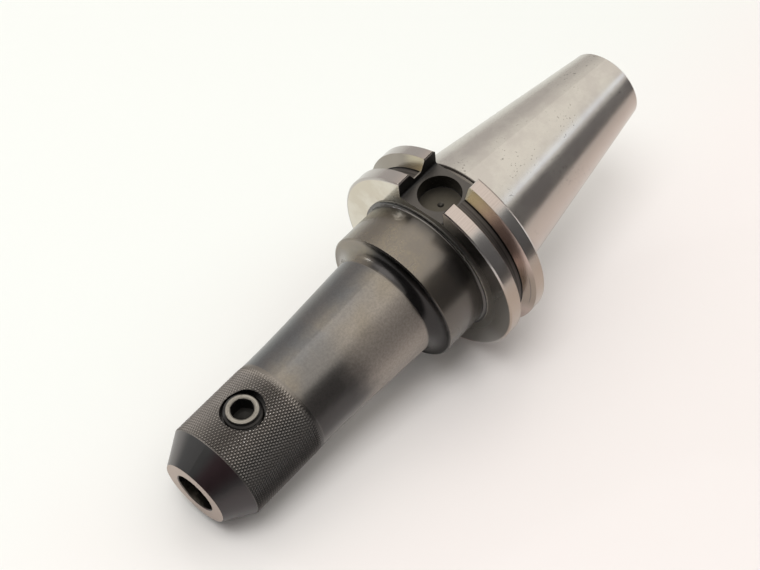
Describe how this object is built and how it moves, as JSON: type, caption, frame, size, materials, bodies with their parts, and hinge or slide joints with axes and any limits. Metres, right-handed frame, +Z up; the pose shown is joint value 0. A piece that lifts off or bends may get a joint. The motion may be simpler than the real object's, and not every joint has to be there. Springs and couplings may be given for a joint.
{
  "type": "side lock end mill holder",
  "caption": "Tool holder with a 40 size V-flange taper, a collar and a knurled nose whose set screw locks a straight shank in the bore.",
  "frame": {"origin": "on the bench, under the middle of the holder's box; the holder lies on the edges of its lower drive slot and on its nose", "axes": "+Z up; +X along the holder towards the nose, whose axis dips 9.4 degrees below +X; +Y across"},
  "size_m": [0.1858, 0.0634, 0.0627],
  "materials": {
    "holder_steel": "black oxide, with the taper, flange rims and nose face ground bright",
    "screw_steel": "black oxide with a bright top ring"
  },
  "bodies": {
    "holder": {"holder_body": "holder_steel"},
    "lock_screw": {"side_lock_screw": "screw_steel"}
  },
  "joints": [
    {"name": "lock_screw_travel", "type": "slide", "parent": "holder", "child": "lock_screw", "axis": [0.1627, 0, 0.9867], "range_m": [-0.00162, 0.006]}
  ]
}
